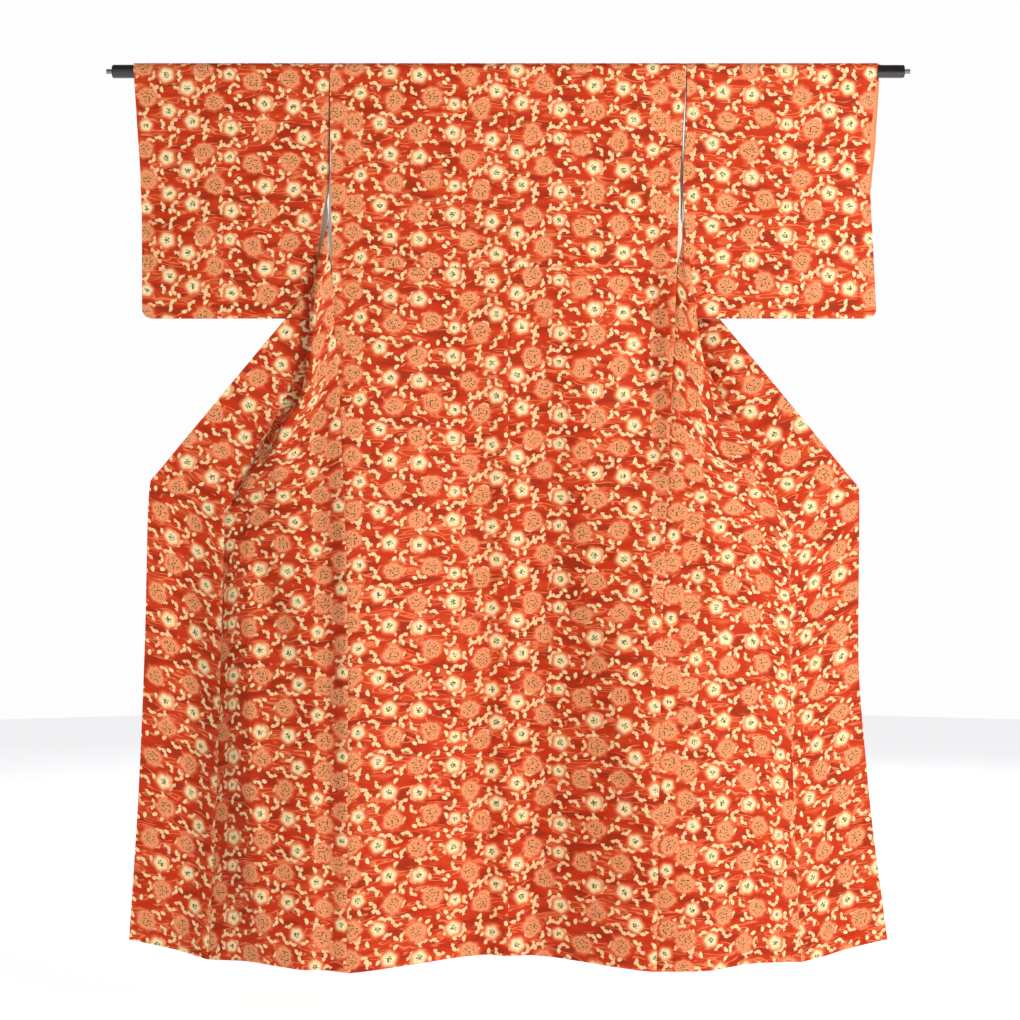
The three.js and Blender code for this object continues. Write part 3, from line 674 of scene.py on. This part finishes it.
def chrysanthemums(tree, place, base, drift, flecks):
    """Round chrysanthemums: a disc with nine shallow lobes and a rim made uneven by the drift, sixteen
    paler rays, worn flecks, a rosier rim and a few dark specks inside, on a coral halo."""
    vector, middle = nearest(tree, place, ROUNDS)
    length, angle = polar(tree, vector)
    turn = add(tree, "MULTIPLY", add(tree, "chance", middle), FULL_TURN)
    rim = add(tree, "SUBTRACT", lobes(tree, angle, turn, 9.0, 15.6, 17.0), 5.0)
    inside = add(tree, "DIVIDE", length, add(tree, "MULTIPLY_ADD", drift, 10.0, rim))
    halo = add(tree, "MULTIPLY", add(tree, "smooth", inside, 1.35, 1.0), 0.6)
    base = add(tree, "blend", halo, base, CORAL)
    flesh = add(tree, "blend", lobes(tree, angle, turn, 16.0, 0, 1), PEACH, PALE_PEACH)
    worn = add(tree, "MULTIPLY", add(tree, "smooth", flecks, 0.46, 0.3), 0.6)
    flesh = add(tree, "blend", worn, flesh, CORAL)
    flesh = add(tree, "blend", add(tree, "smooth", inside, 0.78, 0.98), flesh, LINE)
    heart = add(tree, "smooth", inside, 0.84, 0.6)
    specks = add(tree, "MULTIPLY", add(tree, "smooth", flecks, 0.56, 0.62), heart)
    flesh = add(tree, "blend", add(tree, "MULTIPLY", specks, 0.95), flesh, OLIVE)
    return add(tree, "blend", add(tree, "smooth", inside, 1.05, 0.95), base, flesh)


def plum_blossoms(tree, place, base, flecks):
    """Plum blossoms: five lobes, each blossom turned and sized by its middle's number, cream with a green
    heart and dark stamens, peach partings between the petals, and a soft halo."""
    vector, middle = nearest(tree, place, PLUMS)
    length, angle = polar(tree, vector)
    chance = add(tree, "chance", middle)
    scale = add(tree, "MULTIPLY_ADD", chance, 0.24, 0.88)
    turn = add(tree, "MULTIPLY", chance, FULL_TURN)
    rim = add(tree, "MULTIPLY", lobes(tree, angle, turn, 5.0, 11.0, 12.4), scale)
    inside = add(tree, "DIVIDE", length, rim)
    halo = add(tree, "MULTIPLY", add(tree, "smooth", inside, 1.5, 0.95), 0.8)
    base = add(tree, "blend", halo, base, LINE)
    petals = add(tree, "ramp", inside, stops=[
        (0.0, HEART), (0.22, HEART_EDGE), (0.42, WHITE), (0.66, CREAM), (0.86, STRAW), (1.0, PEACH),
    ])
    for dye, fleck, ring in ((LEAF, (0.46, 0.56), (0.56, 0.34)), (OLIVE, (0.54, 0.62), (0.42, 0.28))):
        around = add(tree, "smooth", inside, *ring)
        stamens = add(tree, "MULTIPLY", add(tree, "smooth", flecks, *fleck), around)
        petals = add(tree, "blend", stamens, petals, dye)
    parting = add(tree, "smooth", lobes(tree, angle, turn, 5.0, -1, 1), -0.5, -0.98)
    parting = add(tree, "MULTIPLY", parting, add(tree, "smooth", inside, 0.3, 0.8))
    petals = add(tree, "blend", add(tree, "MULTIPLY", parting, 0.45), petals, PALE_PEACH)
    return add(tree, "blend", add(tree, "smooth", inside, 1.16, 0.8), base, petals)


def komon_print(tree, place):
    """The all-over small print: ground, chains of petals on their shadows, round chrysanthemums and plum
    blossoms, in that order."""
    cloud = soft_noise(tree, place, (1 / 66, 1 / 17, 0), 0.6)
    drift = soft_noise(tree, place, (1 / 44, 1 / 15, 0), 0.8, shift=(7, 3, 0))
    flecks = soft_noise(tree, place, (0.3, 0.36, 0), 0.0)
    base = streaked_ground(tree, cloud, drift)
    for chain in CHAINS:
        petal, shadow, share = petal_chains(tree, place, *chain)
        base = add(tree, "blend", add(tree, "MULTIPLY", shadow, 0.8), base, UMBER)
        petals = add(tree, "blend", add(tree, "MULTIPLY", share, 0.55), CREAM, PALE_PEACH)
        base = add(tree, "blend", petal, base, petals)
    base = chrysanthemums(tree, place, base, drift, flecks)
    return plum_blossoms(tree, place, base, flecks)


def new_material(name):
    """A material with its node tree and its main shader."""
    material = bpy.data.materials.new(name)
    material.use_nodes = True
    tree = material.node_tree
    return material, tree, tree.nodes["Principled BSDF"]


def crepe_bump(tree, place, fine, strength):
    """Crepe: uneven grain of half a millimetre to a millimetre, drawn out a little along the weft,
    raised and sunk by about a tenth of a millimetre."""
    grain = soft_noise(tree, place, (0.8 * fine, 1.3 * fine, 0), 3.0)
    return add(tree, "bump", grain, strength, 0.0003)


def silk_crepe():
    """Printed silk crepe: nearly matt, with a soft pale sheen at slanting angles."""
    material, tree, shader = new_material("printed silk crepe")
    place = add(tree, "cut place")
    fill(tree, shader, {
        "Base Color": komon_print(tree, place),
        "Roughness": 0.68,
        "Specular IOR Level": 0.16,
        "Sheen Weight": 0.05,
        "Sheen Roughness": 0.4,
        "Sheen Tint": colour("#FFD9C4"),
        "Normal": crepe_bump(tree, place, 1.4, 0.35),
    })
    return material


def silk_lining():
    """Plain silk lining: pale above and peach at the skirt and wrists, smooth with a low shine."""
    material, tree, shader = new_material("plain silk lining")
    place = add(tree, "cut place")
    dye = add(tree, "blend", add(tree, "tint"), colour("#EFE6D6"), colour("#EE9159"))
    thread = add(tree, "smooth", soft_noise(tree, place, (0.02, 1.1, 0), 2.0), 0.75, 0.3)
    dye = add(tree, "blend", add(tree, "MULTIPLY", thread, 0.12), dye, colour("#A9754F"))
    bump = crepe_bump(tree, place, 2.2, 0.2)
    fill(tree, shader, {"Base Color": dye, "Roughness": 0.5, "Sheen Weight": 0.15, "Normal": bump})
    return material


def black_lacquer():
    """Black lacquer on wood: a deep gloss with a faint brown in it and hairline unevenness."""
    material, tree, shader = new_material("black lacquer")
    cloud = add(tree, "noise", add(tree, "object place"), 9.0, 3.0)
    fill(tree, shader, {
        "Base Color": add(tree, "ramp", cloud, stops=[(0.3, colour("#0B0908")), (0.7, colour("#1A120E"))]),
        "Roughness": add(tree, "range", cloud, 0.3, 0.7, 0.1, 0.2),
        "Coat Weight": 0.6,
        "Coat Roughness": 0.06,
    })
    return material


def turned_steel():
    """Turned steel: fine rings round the pin."""
    material, tree, shader = new_material("turned steel")
    grain = add(tree, "noise", add(tree, "VECTOR_MULTIPLY", add(tree, "object place"), (2600, 60, 60)), 1.0)
    fill(tree, shader, {
        "Base Color": add(tree, "ramp", grain, stops=[(0.3, colour("#6E7075")), (0.7, colour("#9C9EA3"))]),
        "Roughness": add(tree, "range", grain, 0, 1, 0.2, 0.45),
        "Metallic": 1.0,
    })
    return material


CREPE = silk_crepe()
LINING = silk_lining()


# The print's place on a body panel: where the seam side and the shoulder line lie in the repeat, and
# which way it runs. On the other pieces its place is a guess.
PLACED = {"left": (272, 69, 1), "right": (267, -234, -1)}
OKUMI_PLACED = (20, 95)
SLEEVE_PLACED = (50, 60)
COLLAR_PLACED = 90


def print_uv(half, from_seam, cut):
    """Place in the print of a body panel's point, by its distance from the seam side and the shoulder
    line. The back below the waist tuck is further along by what the tuck takes."""
    across, along_cut, way = PLACED[half["name"]]
    cut = np.where(cut < -TUCK_CUT, cut - TUCK_TAKEN, cut)
    return np.stack(np.broadcast_arrays(across - from_seam, along_cut + way * cut), axis=-1)


def lining_tint(below, edge):
    """0 on the pale lining and 1 on the peach, passing from one to the other at the edge."""
    return ease((below - edge) / DYE_EDGE + 0.5)


def body_panel(half):
    """One body panel from the back hem over the rod and the shoulder line to the front hem. Its UV comes
    from the distances from the centre seam's side and from the shoulder line, the back's counted below
    zero."""
    side = half["side"]
    t = np.linspace(0, 1, BACK_COLUMNS + 1)
    share = t - 0.6 * np.sin(2 * np.pi * t) / (2 * np.pi)
    first_cut = FAR_SLIP + WRAP
    cuts = np.linspace(BODY_LENGTH, first_cut, int((BODY_LENGTH - first_cut) / ROW_STEP))
    tuck = TUCK_CUT + np.array([-6, -3.5, -1.5, -0.2, 0.2, 1.5, 4])
    cuts = np.sort(np.concatenate([cuts[np.abs(cuts - TUCK_CUT) > ROW_STEP], tuck]))[::-1]
    back = back_rows(half, cuts, share)
    back_uv = print_uv(half, back[..., 0], -cuts[:, None])
    fade = np.exp(-np.maximum(cuts - TUCK_CUT, 0) / TUCK_FADE)
    back[..., 1] -= (TUCK_STEP * ease((cuts - TUCK_CUT) / 0.8 + 0.5) * fade)[:, None]
    angle = np.linspace(0, np.pi, WRAP_ROWS + 1)[1:, None]
    over_cuts = first_cut - angle * WRAP
    x = share[None] * half["shoulder"]
    over = point(x, -WRAP * np.cos(angle), WRAP * np.sin(angle))
    over_uv = print_uv(half, x, -over_cuts)

    front_cuts = np.linspace(0, BODY_LENGTH, BODY_LENGTH // ROW_STEP)
    front, across = along(front_stations(half, front_cuts), STRETCHES)
    front, across = front[:, ::-1], across[:, ::-1]
    front_uv = print_uv(half, half["shoulder"] - across, front_cuts[:, None])

    # Behind the rod, down to the shoulder line, the columns pass from the back's to the front's round the
    # neck
    down = np.linspace(0, 1, NECK_ROWS + 1)[1:-1, None]
    neck = NECK_HALF * np.sqrt(1 - (1 - down) ** 2)
    first = front[0]
    last_share = (first[:, 0] - first[0, 0]) / (half["shoulder"] - first[0, 0])
    columns = mix(share[None], last_share[None], down)
    x = neck + (half["shoulder"] - neck) * columns
    behind = point(x, mix(WRAP, first[None, :, 1], down), down * first[None, :, 2])
    behind_uv = print_uv(half, x, -over_cuts[-1] * (1 - down))

    grid = np.concatenate([back, over, behind, front])
    uv = np.concatenate([back_uv, over_uv, behind_uv, front_uv])
    grid[..., 1] += relief(grid[..., 0] * side, grid[..., 2])
    grid[..., 0] *= side
    facing = -side * normals(grid)
    seam = np.zeros(grid.shape[:2])
    seam[:len(back)] += pinch(back[..., 0])
    sewn = cuts >= SLIT_END
    seam[:len(back)][sewn] += pinch(back[sewn][:, -1:, 0] - back[sewn][..., 0])
    sewn = front_cuts >= SLIT_END
    seam[-len(front):][sewn] += pinch(across[sewn])
    seam[-len(front):] += pinch(across[:, :1] - across)
    grid -= facing * seam[..., None]
    from_shoulder = np.concatenate([cuts, over_cuts[:, 0], 0 * down[:, 0], front_cuts])
    tint = lining_tint(from_shoulder, BODY_LENGTH - SKIRT_LINING)[:, None] * np.ones(grid.shape[:2])
    name = half["name"]
    sides = [CREPE, LINING, CREPE]
    piece = shell(f"body_{name}_cloth", grid, uv, CLOTH, -side, sides, tint, ("crepe", f"body_{name}"))


# How the overlap panel's two stretches are divided, from its seam over the trough to the edge
OKUMI_STRETCHES = [[0, 0.05, 0.15, 0.35, 0.6, 0.8], [0, 0.2, 0.4, 0.6, 0.8, 0.95, 1]]
TROUGH_START = 60


def okumi_panel(half):
    """The overlap panel: from its seam over a trough to the front edge, a smooth curve on each cut row.
    Above the collar's end there is no trough."""
    side = half["side"]
    cuts = np.linspace(OKUMI_TIP + 1, BODY_LENGTH, (BODY_LENGTH - OKUMI_TIP) // ROW_STEP)
    seam = okumi_points(half, cuts)
    edge = edge_points(half, cuts)
    middle = mix(seam, edge, 0.45)
    trough = table_value(half["okumi"], "cut", cuts, "troughY")
    middle[:, 1] = mix(middle[:, 1], trough, ease((cuts - CLIP_CUT + TROUGH_START) / TROUGH_START))
    grid, across = along(np.stack([seam, middle, edge], axis=1), OKUMI_STRETCHES)
    way = PLACED[half["name"]][2]
    uv = [across + OKUMI_PLACED[0], way * cuts[:, None] + OKUMI_PLACED[1]]
    uv = np.stack(np.broadcast_arrays(*uv), axis=-1)
    grid[..., 1] += relief(grid[..., 0] * side, grid[..., 2])
    grid[..., 0] *= side
    grid -= side * normals(grid) * pinch(across)[..., None]
    tint = lining_tint(cuts, BODY_LENGTH - SKIRT_LINING)[:, None] * np.ones(across.shape)
    name = half["name"]
    sides = [CREPE, LINING, CREPE]
    piece = shell(f"okumi_{name}_cloth", grid, uv, CLOTH, side, sides, tint, ("crepe", f"okumi_{name}"))


SLEEVE_CLOSED = CLOTH / 2 + SEAM_GAP / 2
# Waves in the sleeve's layers: height, and length along the two directions, as millimetres to a radian
SLEEVE_WAVES = [(0.9, 31, 160), (0.7, 17, -210)]


def sleeve_depth(z):
    """Half the distance between a sleeve's two layers: the wrap at the top, closing evenly to the
    bottom."""
    return mix(WRAP, SLEEVE_CLOSED, np.clip(-z / SLEEVE_DROP, 0, 1))


def sleeve_outer(half, z, far):
    """The sleeve's outer edge, drawn in round the bottom corner by a quarter circle."""
    corner = np.clip(1 - (SLEEVE_DROP + z) / SLEEVE_CORNER, 0, 1)
    inset = SLEEVE_CORNER * (1 - np.sqrt(1 - corner**2))
    extra = table_value(half["sleeve"], "z", z, "farExtra") * far
    return table_value(half["sleeve"], "z", z, "outer") + extra - inset


def sleeve_panel(half):
    """A sleeve: one length folded over the rod, sewn along the bottom and below the wrist opening. Small
    sine waves run down each layer from the rod."""
    side = half["side"]
    corner = np.linspace(-SLEEVE_DROP, -SLEEVE_DROP + SLEEVE_CORNER, 7)
    low = np.concatenate([corner, np.linspace(-400, 0, 58)])[:-1]
    angle = np.linspace(0, np.pi, WRAP_ROWS + 1)
    heights = np.concatenate([low, WRAP * np.sin(angle), low[::-1]])
    depth = np.concatenate([-sleeve_depth(low), -WRAP * np.cos(angle), sleeve_depth(low[::-1])])
    far = (np.arange(len(heights)) > len(low) + WRAP_ROWS / 2).astype(float)
    inner = table_value(half["sleeve"], "z", heights, "inner") + 2 * SEAM_GAP
    hanging = np.interp(heights, *half["farInner"])
    inner = mix(inner, np.minimum(hanging, inner), far * (heights < 0))
    outer = sleeve_outer(half, heights, far)
    t = np.linspace(0, 1, SLEEVE_COLUMNS + 1)
    share = (t - 0.5 * np.sin(2 * np.pi * t) / (2 * np.pi))[None]
    x = mix(inner[:, None], outer[:, None], share)
    sewn = ease((-heights - WRIST_OPENING) / 16)[:, None] * ease((share - 0.9) / 0.1)
    layer = np.sign(depth)[:, None]
    y = mix(depth[:, None] * np.ones_like(x), layer * SLEEVE_CLOSED, sewn)
    hang = ease(-heights / 140)[:, None] * (1 - ease((-heights - 330) / 95))[:, None]
    waves = sum(high * np.sin(x / wide + heights[:, None] / tall) for high, wide, tall in SLEEVE_WAVES)
    y = y + layer * hang * waves
    grid = point(x * side, y, heights[:, None])
    length = np.concatenate([low, (angle - np.pi / 2) * WRAP, -low[::-1]])
    length[:len(low)] -= WRAP * np.pi / 2
    length[len(low) + WRAP_ROWS + 1:] += WRAP * np.pi / 2
    way = -PLACED[half["name"]][2]
    uv = [side * way * x + SLEEVE_PLACED[0], way * length[:, None] + SLEEVE_PLACED[1]]
    uv = np.stack(np.broadcast_arrays(*uv), axis=-1)
    tint = lining_tint(x, outer[:, None] - CUFF_LINING)
    name = half["name"]
    sides = [CREPE, LINING, LINING]
    piece = shell(f"sleeve_{name}_cloth", grid, uv, CLOTH, -side, sides, tint, ("crepe", f"sleeve_{name}"))


COLLAR_BEHIND = 5.2
NECK_Z = -22
SMOOTHED = 7  # cut lines of the collar over which its depth is averaged


def open_front_depth(half, x, z):
    """Depth of the opened front at places: that of the nearest point of a fine grid over it, from the far
    side of the hidden fold, the ninth station, to the front edge."""
    cuts = np.linspace(0, 1000, 480)
    stations = front_stations(half, cuts)[:, 8:]
    points, _ = along(stations, [8, 8, np.linspace(0, 1, 9)])
    seam, edge = okumi_points(half, cuts), edge_points(half, cuts)
    panel = mix(seam[:, None], edge[:, None], np.linspace(0.03, 1, 34)[None, :, None])
    cloud = np.concatenate([points.reshape(-1, 3), panel[cuts > OKUMI_TIP].reshape(-1, 3)])
    flat_x, flat_z = x.ravel(), z.ravel()
    distance = (cloud[:, 0] - flat_x[:, None]) ** 2 + (cloud[:, 2] - flat_z[:, None]) ** 2
    return cloud[distance.argmin(axis=1), 1].reshape(x.shape)


def collar_lines(half):
    """The half collar as lines across it: each leans from its seam behind the opened front, or hangs
    behind the rod round the neck, and lies a few millimetres behind what it is folded back on."""
    cuts = np.linspace(CLIP_CUT, 0, 110)
    seam = edge_points(half, cuts)
    lean = np.radians(90 - half["collarLean"]) * np.clip(cuts / OKUMI_TIP, 0, 1)
    angle = np.linspace(0, np.pi / 2, 17)[1:]
    first = seam[-1]
    round_neck = point(first[0] * np.cos(angle), first[1], mix(first[2], NECK_Z, np.sin(angle)))
    seam = np.concatenate([seam, round_neck])
    lean = np.concatenate([lean, np.zeros(len(angle))])
    down = np.linspace(0, COLLAR_WIDTH, COLLAR_COLUMNS + 1)[None]
    x = seam[:, :1] - down * np.sin(lean)[:, None]
    z = seam[:, 2:] - down * np.cos(lean)[:, None]
    y = open_front_depth(half, x, z)
    y[len(cuts):] = first[1]
    kernel = np.ones(SMOOTHED) / SMOOTHED
    padded_y = np.pad(y, ((SMOOTHED // 2, SMOOTHED // 2), (0, 0)), mode="edge")
    y = np.apply_along_axis(lambda line: np.convolve(line, kernel, mode="valid"), 0, padded_y)
    y += COLLAR_BEHIND + relief(x * half["side"], z)
    return point(x * half["side"], y, z)


def collar_band():
    """The whole collar: the left half, the neck and the right half in one band."""
    left, right = collar_lines(LEFT), collar_lines(RIGHT)
    grid = np.concatenate([left, right[:-1][::-1]])
    step = np.linalg.norm(np.diff(grid[:, 0], axis=0), axis=1)
    length = np.concatenate([[0], np.cumsum(step)])
    across = np.linspace(0, COLLAR_WIDTH, COLLAR_COLUMNS + 1)[None]
    uv = np.stack(np.broadcast_arrays(across + COLLAR_PLACED, length[:, None]), axis=-1)
    facing = 1 if normals(grid)[..., 1].mean() > 0 else -1
    plain = np.zeros(grid.shape[:2])
    piece = shell("collar_cloth", grid, uv, COLLAR_CLOTH, facing, [CREPE] * 3, plain, ("crepe", "collar"))


CUFF_WIDTH = 17.6
CUFF_INSIDE = 17  # how much of the strip lies inside the far layer's edge
CUFF_HEIGHTS = (-200, -14)


def cuff_strip(half):
    """The wrist's lining rolled a little beyond the far layer's edge: a strip inside it with a rounded
    rim."""
    side = half["side"]
    z = np.linspace(*CUFF_HEIGHTS, CUFF_ROWS)
    outer = sleeve_outer(half, z, 1.0)
    across = np.linspace(0, 1, 9)[None]
    x = outer[:, None] - CUFF_INSIDE + CUFF_WIDTH * across
    y = sleeve_depth(z)[:, None] - CLOTH - 0.6 - 0.8 * ease((across - 0.8) / 0.2)
    grid = point(x * side, y, z[:, None])
    uv = np.stack(np.broadcast_arrays(CUFF_WIDTH * across, z[:, None]), axis=-1)
    peach = np.ones(grid.shape[:2])
    slot = ("lining", "cuff_lining_right")
    piece = shell("cuff_lining_right_cloth", grid, uv, CUFF_CLOTH, side, [LINING] * 3, peach, slot)


SLIT_TUCKED = 5  # how much of the strip lies behind the back's edge
SLIT_BEHIND = 2.4


def slit_strip(half, top, bottom, shown):
    """The lining that shows at the underarm slit: a narrow strip just behind the back's edge, which peeks
    out by a power of half a sine wave along it."""
    z = np.linspace(bottom, top, SLIT_ROWS)
    cut = FAR_SLIP + WRAP - z
    share = np.clip((cut - FAR_SLIP) / (SLIT_TOP - FAR_SLIP), 0, 1)
    below = np.clip((cut - SLIT_TOP) / (SLIT_END - SLIT_TOP), 0, 1)
    edge_x = mix(mix(half["shoulder"], half["slitX"], share), half["rows"]["seamX"][6], below)
    edge_y = mix(-WRAP, half["rows"]["seamY"][6], cut / SLIT_END)
    peek = shown * np.sin(np.pi * np.linspace(0.04, 0.96, SLIT_ROWS)) ** 0.6
    across = np.linspace(0, 1, 6)[None]
    x = edge_x[:, None] - SLIT_TUCKED + (SLIT_TUCKED + peek[:, None]) * across
    y = edge_y[:, None] + SLIT_BEHIND + 2.0 * across**2
    grid = point(x * half["side"], y + relief(x * half["side"], z[:, None]), z[:, None])
    uv = np.stack(np.broadcast_arrays(10 * across, z[:, None]), axis=-1)
    name, side = half["name"], half["side"]
    pale = np.zeros(grid.shape[:2])
    piece = shell(f"slit_lining_{name}", grid, uv, SLIT_CLOTH, side, [LINING] * 3, pale, ("lining", None))


for half in (LEFT, RIGHT):
    body_panel(half)
    okumi_panel(half)
    sleeve_panel(half)
collar_band()
cuff_strip(RIGHT)
slit_strip(LEFT, -170, -280, 3.6)
slit_strip(RIGHT, -190, -260, 1.6)

LACQUER = black_lacquer()
STEEL = turned_steel()
for node, material in (("rod", LACQUER), ("rod_pin_left", STEEL), ("rod_pin_right", STEEL)):
    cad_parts[node].data.materials.clear()
    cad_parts[node].data.materials.append(material)

# Floor, light and camera, in metres
FLOOR_Z = -1.62
bpy.ops.mesh.primitive_circle_add(vertices=96, radius=6, fill_type="NGON", location=(0, 0, FLOOR_Z))
floor = bpy.context.object
floor.name = "floor"
pale_floor, tree, shader = new_material("pale floor")
fill(tree, shader, {
    "Base Color": colour("#F2F2F4"),
    "Roughness": 0.9,
    "Emission Color": colour("#F8F8FA"),
    "Emission Strength": 0.72,
})
floor.data.materials.append(pale_floor)

# A white wall to the eye, with a dimmer room round the cloth.
world = bpy.data.worlds.new("studio")
world.use_nodes = True
tree = world.node_tree
strength = add(tree, "range", add(tree, "camera ray"), 0, 1, 0.2, 1.03)
fill(tree, tree.nodes["Background"], {"Color": colour("#FAFAFB"), "Strength": strength})
bpy.context.scene.world = world


LIGHT_AIM = (0, 0, -0.8)


def area_light(name, place, size, power):
    """A square soft light at a place, turned towards the middle of the kimono."""
    light = bpy.data.lights.new(name, "AREA")
    light.size = size
    light.energy = power
    lamp = bpy.data.objects.new(name, light)
    bpy.context.scene.collection.objects.link(lamp)
    lamp.location = place
    lamp.rotation_euler = (Vector(LIGHT_AIM) - Vector(place)).to_track_quat("-Z", "Y").to_euler()


area_light("key", (2.2, -2.5, 0.5), 0.7, 94)
area_light("fill", (-1.6, -3.6, 0.3), 2.4, 9)
area_light("back", (0.5, 3.2, 0.8), 2.4, 40)

camera = bpy.data.cameras.new("camera")
camera.sensor_width = 36
camera.lens = 82.1
eye = bpy.data.objects.new("camera", camera)
bpy.context.scene.collection.objects.link(eye)
eye.location = (0.003, -4.0, -0.754)
eye.rotation_euler = (np.pi / 2, 0, 0)
bpy.context.scene.camera = eye
bpy.context.scene.view_settings.view_transform = "Standard"
